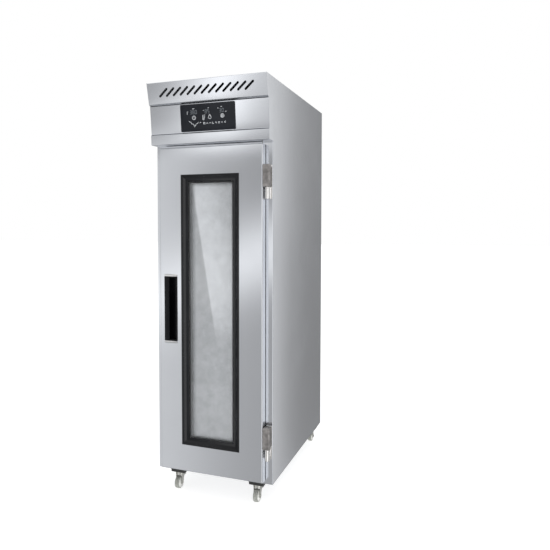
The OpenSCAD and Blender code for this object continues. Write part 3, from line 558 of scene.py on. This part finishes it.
def make_piece(name, skins, material, body, stands_for=(), crease=32):
    """Joins skins into one mesh, smooth up to the crease angle, and puts it on its body."""
    points, faces, start = [], [], 0
    for p, f in skins:
        points.append(p)
        faces += [[v + start for v in face] for face in f]
        start += len(p)
    mesh = bpy.data.meshes.new(name)
    mesh.from_pydata(np.concatenate(points), [], faces)
    mesh.validate()
    mesh.shade_smooth()
    mesh.set_sharp_from_angle(angle=math.radians(crease))
    mesh.materials.append(material)
    piece = bpy.data.objects.new(name, mesh)
    bpy.context.scene.collection.objects.link(piece)
    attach(piece, body)
    for node in stands_for:
        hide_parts(node)
    print(f"{name}: {len(faces)} faces on {body}")


# %% [markdown]
# Four ways to lay out the loops are enough for this cabinet:
# - *soften* replaces each corner of an outline by a short curve;
# - *turned* spins a profile round an axis, as a lathe does;
# - *mitred* carries a profile round a rectangle and turns it at 45 degrees in the corners;
# - *block* stacks one outline at several heights, drawn in a little at the ends.

# %% Softened outlines and turned profiles
def soften(outline, reach, steps=4):
    """Each corner P becomes (1-t)^2 S + 2t(1-t) P + t^2 E; S and E lie reach away on its sides."""
    corner = np.asarray(outline, float)
    t = np.linspace(0, 1, steps + 1)[None, :, None]
    touches = []
    for other in (np.roll(corner, 1, 0), np.roll(corner, -1, 0)):
        side = other - corner
        length = np.linalg.norm(side, axis=1, keepdims=True)
        touches.append((corner + side / length * np.minimum(reach, 0.45 * length))[:, None])
    start, end = touches
    middle = corner[:, None]
    return ((1 - t) ** 2 * start + 2 * t * (1 - t) * middle + t ** 2 * end).reshape(-1, 2)


# for each axis: two directions across it, then the direction along it
AXES = {"x": ((0, 1, 0), (0, 0, 1), (1, 0, 0)), "y": ((0, 0, 1), (1, 0, 0), (0, 1, 0)),
        "z": ((1, 0, 0), (0, 1, 0), (0, 0, 1))}


def turned(profile, centre, axis="z", steps=40, ring=False, ripple=None):
    """centre + r (cos a U + sin a V) + h W, for each (r, h) of the profile in mm and angle a.
    A ring's profile is a closed outline. Ripple(a, h) multiplies r, for threads and flutes."""
    r, h = (np.array(profile, float) * MM).T[:, :, None]
    a = np.linspace(0, 2 * np.pi, steps, endpoint=False)[None, :]
    u, v, w = (np.array(direction, float) for direction in AXES[axis])
    r = r * (ripple(a, h) if ripple else 1)
    loops = r[..., None] * (np.cos(a)[..., None] * u + np.sin(a)[..., None] * v) + h[..., None] * w
    return skin(np.array(centre) * MM + loops, ring)


# %% Mitred frames, stacked blocks and rounded rectangles
def mitred(profile, half_w, half_h, middle_z):
    """For each (depth y, distance in d) the corners lie at +-(half_w - d), +-(half_h - d)."""
    y, d = np.array(profile, float).T
    signs = [(-1, -1), (1, -1), (1, 1), (-1, 1)]
    loops = [np.stack([sx * (half_w - d), y, middle_z + sz * (half_h - d)], -1) for sx, sz in signs]
    return skin(np.array(loops) * MM, ring=True)


def block(outline, levels, axis="z"):
    """The outline in mm at each (height, inset); inset moves a point back along its normal."""
    p = np.asarray(outline, float)
    along = np.roll(p, -1, 0) - np.roll(p, 1, 0)
    length = np.linalg.norm(along, axis=1, keepdims=True)
    normal = np.stack([along[:, 1], -along[:, 0]], -1) / length
    x, y = p.T
    if (x * np.roll(y, -1) - y * np.roll(x, -1)).sum() < 0:
        normal = -normal
    u, v, w = (np.array(direction, float) for direction in AXES[axis])
    loops = []
    for h, inset in levels:
        q = p - inset * normal
        loops.append(q[:, :1] * u + q[:, 1:] * v + h * w)
    return skin(np.array(loops) * MM)


def round_rect(w, h, r, cx=0.0, cy=0.0, steps=6):
    """Four quarter circles of radius r about the corners of a smaller rectangle."""
    a = np.linspace(0, np.pi / 2, steps + 1)[None] + np.pi / 2 * np.arange(4)[:, None]
    sx, sy = np.array([1, -1, -1, 1])[:, None], np.array([1, 1, -1, -1])[:, None]
    x, y = cx + sx * (w / 2 - r) + r * np.cos(a), cy + sy * (h / 2 - r) + r * np.sin(a)
    return np.stack([x.ravel(), y.ravel()], -1)


def ends(low, high, soft):
    """Heights and insets of a block whose two ends are rounded over by soft."""
    return [(low, soft), (low + 0.3 * soft, 0.3 * soft), (low + soft, 0), (high - soft, 0),
            (high - 0.3 * soft, 0.3 * soft), (high, soft)]


print("a soft square has", len(round_rect(64, 64, 6)), "points")

# %% [markdown]
# ## The door's mouldings
#
# The window sits in a black extruded frame. From outside in it has a flat lip, a thin raised
# bead that catches the light, and a slope down to the glass. Extruded bars are cut at 45
# degrees and joined, so the profile goes round with mitred corners. The gasket is made in the
# same way: a soft bulb on a flat foot, welded at the corners.

# %% Window bezel and gasket
DOOR_FACE, GLASS_FACE, DOOR_BACK, FRAME_FACE = -385.0, -373.0, -352.0, -349.0
BEZEL_HALF_W, BEZEL_HALF_H, WINDOW_MIDDLE = 124, 542, 758.0
GASKET_HALF_W, GASKET_HALF_H, DOOR_MIDDLE, GASKET_FOOT = 217, 637.5, 758.5, 11

bezel_profile = soften([
    (DOOR_FACE, 0), (-386.9, 0.1), (-388, 1.2), (-388, 5.2), (-386.9, 6.4), (-386.5, 6.9),
    (-387.5, 7.7), (-387.3, 8.9), (-386.0, 9.4), (-380.5, 18.2), (-376.0, 26.6), (-374.4, 28),
    (GLASS_FACE, 28), (GLASS_FACE, 7.1), (DOOR_FACE, 7.1)], 0.45, 3)
bezel = mitred(bezel_profile, BEZEL_HALF_W, BEZEL_HALF_H, WINDOW_MIDDLE)
make_piece("window_bezel_moulding", [bezel], bezel_black,
           "door", ["window_bezel"], crease=40)

angle = np.linspace(0, np.pi, 15)
bulb = np.stack([FRAME_FACE - 1.9 + 1.6 * np.sin(angle), 5.5 - 4.2 * np.cos(angle)], -1)
foot_start = [(DOOR_BACK, GASKET_FOOT), (DOOR_BACK, 0), (DOOR_BACK + 0.9, 0)]
gasket_profile = np.concatenate([foot_start, bulb, [(DOOR_BACK + 0.9, GASKET_FOOT)]])
gasket = mitred(gasket_profile, GASKET_HALF_W, GASKET_HALF_H, DOOR_MIDDLE)
make_piece("door_gasket_seal", [gasket], seal_rubber, "door", ["door_gasket"])

# %% [markdown]
# ## The handle
#
# Fingers go into a deep black pocket and pull on a bar along its free side. The bar's front
# is a flattened arch, (1 - s^4)^0.5, which reads as a soft plastic moulding. Silver trims
# close the pocket at both ends; their faces slope away from the door.

# %% Grip and end trims
HANDLE_X, HANDLE_Z, HANDLE_HALF = -171.0, 765.0, 130.5
GRIP_X, GRIP_BACK, GRIP_BULGE, GRIP_HALF_W = -188, -386.4, 5.1, 10
TRIM_BACK, TRIM_HALF_W = DOOR_FACE + 0.2, 28

s = np.linspace(-1, 1, 19)
arch = np.stack([GRIP_X + GRIP_HALF_W * s, GRIP_BACK - GRIP_BULGE * np.sqrt(1 - s ** 4)], -1)
grip_low, grip_high = HANDLE_Z - HANDLE_HALF + 4, HANDLE_Z + HANDLE_HALF - 4
grip = block(arch, ends(grip_low, grip_high, 1.5))
bead = block(round_rect(1.6, 1.6, 0.7, -177.6, -388.2, 3), ends(grip_low, grip_high, 0.5))
make_piece("handle_grip_bar", [grip, bead], handle_black, "door", ["handle_grip"])

trims = []
for sign in (-1, 1):
    outline = np.array([(TRIM_BACK, 0), (-389, 0), (-389, 3), (-386, 9), (TRIM_BACK, 9)])
    outline[:, 1] = HANDLE_Z + sign * (HANDLE_HALF + outline[:, 1])
    across = ends(HANDLE_X - TRIM_HALF_W, HANDLE_X + TRIM_HALF_W, 0.6)
    trims.append(block(soften(outline, 0.8, 3), across, "x"))
make_piece("handle_end_trims", trims, bright_trim, "door", ["handle_end_caps"])

# %% [markdown]
# ## Hinges
#
# Each hinge is two pieces. The door carries a die-cast block with rounded corners and a
# chamfered top; the cabinet carries a turned knuckle below it, on a plate. The pin stands in
# the knuckle and the block drops over it, so the door lifts off. The block is one outline
# stacked in height, drawn in at the chamfers; the knuckle is a lathe profile with a groove.

# %% Hinge castings and knuckles
HINGE_X, HINGE_Y, HINGE_FEET = 236.0, -374.0, (195.0, 1200.0)
KNUCKLE_H, HINGE_H = 45.0, 129.5

casting_outline = soften([
    (220.1, -354), (220.1, -387.4), (248.5, -387.4), (248.5, -369), (243.5, -362.6),
    (227, -362.6), (223.1, -364.5), (223.1, -354)], 3.6, 5)
cap_profile = [(0.05, 1.5), (2.4, 1.4), (3.6, 0.9), (4.1, 0), (4.1, -0.6)]
cap_core_profile = [(0.05, 0.2), (3.0, 0.2), (3.4, -0.2), (3.4, -0.7)]
knuckle_profile = [
    (0.05, 0), (8.6, 0), (9.6, 0.5), (10, 1.4), (10, 5.0), (9.5, 5.4), (9.5, 6.2), (10, 6.6),
    (10, 38.4), (9.5, 38.8), (9.5, 39.6), (10, 40), (10, 43.6), (9.6, 44.5),
    (8.6, KNUCKLE_H), (0.05, KNUCKLE_H)]
pin_profile = [(0.05, KNUCKLE_H), (4, KNUCKLE_H), (4, 121), (3.2, 121.5), (0.05, 121.5)]
washer_profile = [(4.2, KNUCKLE_H), (8, KNUCKLE_H), (8, 45.4), (4.2, 45.4)]
web_outline = [(230, -374), (242, -374), (242, -351), (230, -351)]
plate_outline = soften([(224, -352), (247, -352), (247, -349), (224, -349)], 0.6, 2)

castings, knuckles = [], []
for foot in HINGE_FEET:
    low, top = foot + KNUCKLE_H + 0.6, foot + HINGE_H
    chamfers = [(low, 0.9), (low + 0.3, 0.3), (low + 1.2, 0),
                (top - 3.4, 0), (top - 2.6, 0.3), (top - 0.3, 2.4), (top, 2.9)]
    castings += [block(casting_outline, chamfers),
                 turned(cap_profile, (HINGE_X, HINGE_Y, top), steps=28),
                 turned(cap_core_profile, (HINGE_X, HINGE_Y, top), steps=28)]
    knuckles += [turned(knuckle_profile, (HINGE_X, HINGE_Y, foot), steps=44),
                 turned(pin_profile, (HINGE_X, HINGE_Y, foot), steps=20),
                 turned(washer_profile, (HINGE_X, HINGE_Y, foot), steps=28, ring=True),
                 block(web_outline, ends(foot + 0.6, foot + 44.4, 0.8)),
                 block(plate_outline, ends(foot, top, 0.8))]
make_piece("hinge_castings", castings, hinge_cast, "door", ["hinge_door_leaves"])
make_piece("hinge_knuckles", knuckles, hinge_bright, "cabinet",
           ["hinge_frame_leaves"])

# %% [markdown]
# ## Casters
#
# A caster is a stack: a plate bolted to the channel, a double ball race that lets it turn, a
# pressed fork with a domed crown, and a wheel that trails behind the pivot. The race, crown,
# tyre and hub are lathe rings. A fork leg is a pressed sheet whose half width h shrinks from
# the crown to the axle and ends in a half circle, h = sqrt(R^2 - (z - axle)^2).

# %% Wheels and forks
CASTER_PLACES = {"front_left": (-174, -300, -1), "front_right": (174, -300, -1),
                 "rear_left": (-205, 373, 1), "rear_right": (205, 373, 1)}
TRAIL, AXLE_Z, CROWN_Z, LEG_R = 18.0, 25.0, 67, 8

hub_profile = [
    (4.05, -10), (8.4, -10), (9.2, -9.3), (9.4, -8), (17.8, -7), (19.2, -8.6), (20.2, -9.3),
    (21.5, -9.3), (21.5, 9.3), (20.2, 9.3), (19.2, 8.6), (17.8, 7), (9.4, 8), (9.2, 9.3),
    (8.4, 10), (4.05, 10)]
tyre_profile = [
    (21.6, -9.4), (22.8, -9.9), (24, -9), (24.8, -7), (25, -5), (25, -1.5), (24.4, -0.9),
    (24.4, 0.9), (25, 1.5), (25, 5), (24.8, 7), (24, 9), (22.8, 9.9), (21.6, 9.4)]
crown_profile = [
    (5, 69.4), (15.5, 69.4), (18.8, 68.8), (20.6, 67.4), (21, 65), (21, 54.5), (19.2, 54.5),
    (18.9, 65), (17.8, 66.4), (15, CROWN_Z), (5, CROWN_Z)]
pin_profile = [(0.05, -14), (4, -14), (4, 14), (0.05, 14)]
head_profile = [(0.05, 13.9), (6, 13.9), (6, 16), (5.2, 16.5), (0.05, 16.5)]


def fork_leg(x, y, ahead, side):
    """Loops of four corners down the leg, at half width h(z) about a line that leans."""
    below = AXLE_Z - LEG_R * np.sin(np.linspace(0.15, 1.5, 9))
    z = np.concatenate([np.linspace(CROWN_Z, AXLE_Z, 17), below])
    up = np.clip((z - AXLE_Z) / (CROWN_Z - AXLE_Z), 0, 1)
    rounding = np.sqrt(np.maximum(LEG_R ** 2 - (AXLE_Z - z) ** 2, 0.2))
    half = np.where(z >= AXLE_Z, LEG_R + LEG_R * up ** 1.5, rounding)
    middle = y + ahead * (TRAIL - 15 * up)
    inner = 11.5 + 3.5 * up ** 4
    corners = [(inner, -1), (inner + 2.5, -1), (inner + 2.5, 1), (inner, 1)]
    loops = [np.stack([x + side * a, middle + b * half, z], -1) for a, b in corners]
    return skin(np.stack(loops, 1) * MM)


for corner_name, (x, y, ahead) in CASTER_PLACES.items():
    axle = (x, y + ahead * TRAIL, AXLE_Z)
    roller, swivel = corner_name + "_roller", corner_name + "_swivel"
    hub = turned(hub_profile, axle, "x", 48, True)
    make_piece(corner_name + "_hub", [hub], white_nylon, roller,
               [corner_name + "_wheel"])
    tyre = turned(tyre_profile, axle, "x", 64, True)
    make_piece(corner_name + "_tyre", [tyre], tyre_grey, roller)
    crown = turned(crown_profile, (x, y, 0), "z", 56, True)
    legs = [fork_leg(x, y, ahead, side) for side in (1, -1)]
    pin = turned(pin_profile, axle, "x", 24)
    heads = [turned([(r, side * h) for r, h in head_profile], axle, "x", 6) for side in (-1, 1)]
    make_piece(corner_name + "_fork_pressing", [crown, *legs, pin, *heads], zinc_steel, swivel,
               [corner_name + "_fork"])

# %% [markdown]
# The parts that stay on the cabinet are made for all four casters at once: a plate with a
# turned-down rim, the race with its kingpin and nut, and four hexagon bolts.

# %% Plates, races and bolts
PLATE_TOP, PLATE_W, PLATE_R, BOLT_REACH = 81.0, 64, 6, 24

rim_section = [(32, 78.2), (32, 71.4), (31.4, 70.6), (30.6, 70.6), (30.2, 71.4), (30.2, 78.2)]
race_profile = [(4.4, 70), (18.5, 70), (20.8, 70.8), (22, 72.6), (21.4, 74), (21.4, 75),
                (20.2, 77.2), (17, 78), (4.4, 78)]
kingpin_profile = [(0.05, 58.4), (4, 58.4), (4, 70), (0.05, 70)]
nut_profile = [(4.2, 58.6), (6.4, 58.6), (6.4, 63.4), (4.2, 63.4)]
bolt_profile = [(0.05, 74), (4.6, 74), (5.5, 74.6), (5.5, 77), (0.05, 77)]
flange_profile = [(0.05, 77), (6.4, 77), (6.6, 77.3), (6.6, 78), (0.05, 78)]


def rim_loop(half, z, x, y):
    """The plate's outline, drawn in to the given half width, at height z."""
    outline = round_rect(2 * half, 2 * half, PLATE_R - (PLATE_W / 2 - half), x, y)
    return np.c_[outline, np.full(len(outline), z)]


plates, races, bolts = [], [], []
for x, y, _ in CASTER_PLACES.values():
    plates.append(block(round_rect(PLATE_W, PLATE_W, PLATE_R, x, y),
                        ends(PLATE_TOP - 3, PLATE_TOP, 0.6)))
    rim = np.stack([rim_loop(half, z, x, y) for half, z in rim_section])
    plates.append(skin(rim * MM, ring=True))
    races.append(turned(race_profile, (x, y, 0), "z", 56, True))
    races.append(turned(kingpin_profile, (x, y, 0), "z", 20))
    races.append(turned(nut_profile, (x, y, 0), "z", 6, True))
    for dx in (-BOLT_REACH, BOLT_REACH):
        for dy in (-BOLT_REACH, BOLT_REACH):
            bolts.append(turned(bolt_profile, (x + dx, y + dy, 0), "z", 6))
            bolts.append(turned(flange_profile, (x + dx, y + dy, 0), "z", 20))
make_piece("caster_top_plates", plates, dark_steel, "cabinet", ["caster_plates"])
make_piece("caster_races", races, dark_steel, "cabinet")
make_piece("caster_hex_bolts", bolts, zinc_steel, "cabinet", ["caster_bolts"])

# %% [markdown]
# ## Fittings on the back
#
# The water inlet has a pipe thread. A thread is a turned surface whose radius also depends on
# the angle: the ridge climbs one pitch per turn, so r follows the fraction of h / pitch - a /
# 2 pi. The nylon gland's nut has flutes in the same way, and the covers are held by small
# flanged screws.

# %% Water inlet
BACK, PITCH, THREAD_LOOPS = 411.0, 1.814, 76
INLET = (75, 0, 210)


def behind(profile):
    """A lathe profile whose heights are measured outwards from the back panel."""
    return [(r, BACK + h) for r, h in profile]


def thread(a, h):
    """1 at the ridge, lower in the groove; the groove climbs one pitch each turn."""
    turn = np.mod(h / (PITCH * MM) - a / (2 * np.pi), 1)
    cut = (h > (BACK + 3.4) * MM) & (h < (BACK + 17.2) * MM)
    outside = np.arange(len(h))[:, None] < THREAD_LOOPS
    return np.where(outside & cut, 1 - 0.075 * (1 - np.abs(2 * turn - 1)), 1)


threaded = [(13.2, h) for h in np.linspace(BACK + 3, BACK + 18, THREAD_LOOPS)]
threaded += behind([(12.2, 18), (4.2, 18), (4, 17.6), (4, 3)])
collar = behind([(4.1, 0), (16.2, 0), (17, 0.8), (17, 2.2), (16.2, 3), (4.1, 3)])
tube = behind([(4, -55), (6, -55), (6, 0), (4, 0)])
spout = [(4, -14), (6, -14), (6, 5), (4, 5)]
inlet = [turned(threaded, INLET, "y", 48, True, thread), turned(collar, INLET, "y", 48, True),
         turned(tube, INLET, "y", 28, True), turned(spout, (75, 355, 210), "z", 28, True)]
make_piece("inlet_thread_fitting", inlet, brass, "cabinet", ["water_inlet"])

# %% Cable gland and cover screws
GLAND = (-150, 0, 1480)
SCREW_XS, SCREW_ZS = (-225, 0, 225), (122, 1380, 1430, 1640)


def flutes(a, h):
    """Twelve shallow grooves round the nut, made by |sin 6a|."""
    fluted = (h > (BACK + 8) * MM) & (h < (BACK + 16.5) * MM)
    return np.where(fluted, 1 - 0.05 * np.abs(np.sin(6 * a)), 1)


sleeve = behind([(5, -13.2), (10, -13.2), (10, 0), (5, 0)])
hexagon = behind([(5, 0), (13.2, 0), (14, 0.8), (14, 6.2), (13.2, 7), (5, 7)])
lock_nut = behind([(5, -7.2), (14, -7.2), (14, -1.3), (5, -1.3)])
cap_nut = behind([(5.2, 7), (11.5, 7), (11.5, 8.4), (11.5, 13), (11, 15.2), (9.4, 17.2),
                  (7.2, 18), (5.2, 18)])
gland = [turned(sleeve, GLAND, "y", 32, True), turned(hexagon, GLAND, "y", 6, True),
         turned(lock_nut, GLAND, "y", 6, True), turned(cap_nut, GLAND, "y", 72, True, flutes)]
make_piece("cable_gland_body", gland, gland_black, "cabinet", ["cable_gland"])

shank = behind([(0.05, -6), (2, -6), (2, 0), (4, 0), (4, 0.5), (0.05, 0.6)])
head = behind([(0.05, 0.5), (2.7, 0.5), (2.7, 1.9), (2.2, 2.2), (0.05, 2.2)])
screws = []
for x in SCREW_XS:
    for z in SCREW_ZS:
        screws += [turned(shank, (x, 0, z), "y", 20), turned(head, (x, 0, z), "y", 6)]
make_piece("flanged_cover_screws", screws, bright_trim, "cabinet",
           ["cover_screws"])

# %% [markdown]
# ## Marks on the control glass
#
# The panel is a sheet of black glass with printed marks: three displays of plain digits, a
# small sign under each, a curve for the programme, and a row of touch keys. A mark is a line
# with a width. Each line becomes a flat bar: its path is pushed out by its normal on both
# sides and given a little height, which keeps it a closed solid. The glass leans, so the
# marks are drawn in its own plane and then carried there.

# %% Bars on the glass
LEAN = math.atan2(11, 111)
PANEL_MIDDLE = np.array([0, -397.5, 1516.5])
PANEL_ACROSS = np.array([1.0, 0, 0])
PANEL_UP = np.array([0, -math.sin(LEAN), math.cos(LEAN)])
PANEL_OUT = np.array([0, -math.cos(LEAN), -math.sin(LEAN)])
PANEL_W, PANEL_H = 230.0, 104.0
BAR_FOOT, BAR_BASE = 2.9, 3


def bar(path, width, height=0.25):
    """The path in mm from the panel's top left corner; loops of four corners at +-width/2."""
    p = np.array(path, float)
    ahead = np.gradient(p, axis=0)
    length = np.linalg.norm(ahead, axis=1, keepdims=True)
    normal = np.stack([-ahead[:, 1], ahead[:, 0]], -1) / length
    u, v = p[:, 0] - PANEL_W / 2, PANEL_H / 2 - p[:, 1]
    top = BAR_BASE + height
    loops = []
    for side, lift in ((-1, BAR_FOOT), (1, BAR_FOOT), (1, top), (-1, top)):
        a, b = u + side * width / 2 * normal[:, 0], v - side * width / 2 * normal[:, 1]
        in_plane = PANEL_MIDDLE + a[:, None] * PANEL_ACROSS + b[:, None] * PANEL_UP
        loops.append(in_plane + lift * PANEL_OUT)
    return skin(np.stack(loops, 1) * MM)


def arc(cx, cy, r, start=0, stop=360, steps=18):
    """Points on a circle between two angles in degrees."""
    a = np.radians(np.linspace(start, stop, steps + 1))
    return np.stack([cx + r * np.cos(a), cy + r * np.sin(a)], -1)


print("the glass leans back by", round(math.degrees(LEAN), 1), "degrees")

# %% Seven segment digits
SEGMENTS = {"a": ((0, 0), (1, 0)), "b": ((1, 0), (1, 1)), "c": ((1, 1), (1, 2)),
            "d": ((0, 2), (1, 2)), "e": ((0, 1), (0, 2)), "f": ((0, 0), (0, 1)),
            "g": ((0, 1), (1, 1))}
DIGITS = {"0": "abcdef", "3": "abcdg", "5": "acdfg", "8": "abcdefg"}
DIGIT_TOP, DIGIT_STEP = 24, 11


def digit(text, left, top, w=6.5, h=7.0, gap=0.8):
    """The lit segments of a seven segment digit, each a short bar."""
    for name in DIGITS[text]:
        (x0, y0), (x1, y1) = SEGMENTS[name]
        a, b = np.array([left + x0 * w, top + y0 * h]), np.array([left + x1 * w, top + y1 * h])
        inset = (b - a) / np.linalg.norm(b - a) * gap
        yield bar([a + inset, b - inset], 1.3)


digits = []
for left, text in ((42, "380"), (106, "85"), (166, "30")):
    for place_no, figure in enumerate(text):
        digits += digit(figure, left + DIGIT_STEP * place_no, DIGIT_TOP)
make_piece("display_digits", digits, digit_grey, "cabinet")

# %% Signs, curve and keys
HEADINGS = [(52, 18, 9), (118, 18, 5), (172, 17, 6)]
UNITS = [(32, 27, 1.6), (98, 27, 3), (158, 22, 5), (190, 36, 6)]
dashes = [bar([(x, y), (x + length, y)], 1.5) for x, y, length in HEADINGS + UNITS]
tick = bar([(30, 28), (30, 38)], 1.3)

clock = [bar(arc(58, 52, 7), 1.4), bar([(58, 47.5), (58, 52), (61.5, 54)], 1.2)]
thermometer = [bar([(96, 44), (96, 59)], 1.6),
               *(bar([(100, y), (105, y)], 1.4) for y in (44, 49, 54)),
               bar(arc(98.5, 59, 3.2), 1.4)]
drop = bar([(125, 43), (120.5, 50), (118.8, 54), (120.5, 58), (125, 59.5), (129.5, 58),
            (131.2, 54), (129.5, 50), (125, 43)], 1.4)
fan_blades = [bar(arc(178 + 3 * math.cos(a), 51 + 3 * math.sin(a), 2.4, 0, 300, 10), 1.1)
              for a in (0.3, 2.4, 4.5)]
fan_sign = [bar(arc(178, 51, 7), 1.4), *fan_blades]

programme = [bar([(36, 63), (39, 67), (43, 67), (48, 75), (54, 75), (58, 84), (62, 84),
                  (66, 76), (72, 75), (76, 69)], 1.3),
             bar([(60, 78), (60, 88)], 0.9), bar([(82, 73), (85, 70), (88, 71)], 1.3)]

KEY_LEFT, KEY_Y, KEY_STEP = 101, 75, 12.4
KEY_SIGNS = [
    [(-3, -3), (3, -3), (3, 3), (-3, 3), (-3, -3)], [(-3, 3), (0, -3), (3, 3)],
    [(-3, 0), (3, 0)], [(-3, -3), (-3, 3), (3, 3)], [(-3, -3), (3, 3)],
    [(-3, -3), (3, -3), (-3, 3), (3, 3)], [(0, -3), (0, 3)], [(3, -3), (-3, 0), (3, 3)]]
keys = [bar([(KEY_LEFT + KEY_STEP * k + a, KEY_Y + b) for a, b in sign], 1.6)
        for k, sign in enumerate(KEY_SIGNS)]
marks = [*dashes, tick, *clock, *thermometer, drop, *fan_sign, *programme, *keys]
make_piece("control_marks", marks, mark_white, "cabinet")
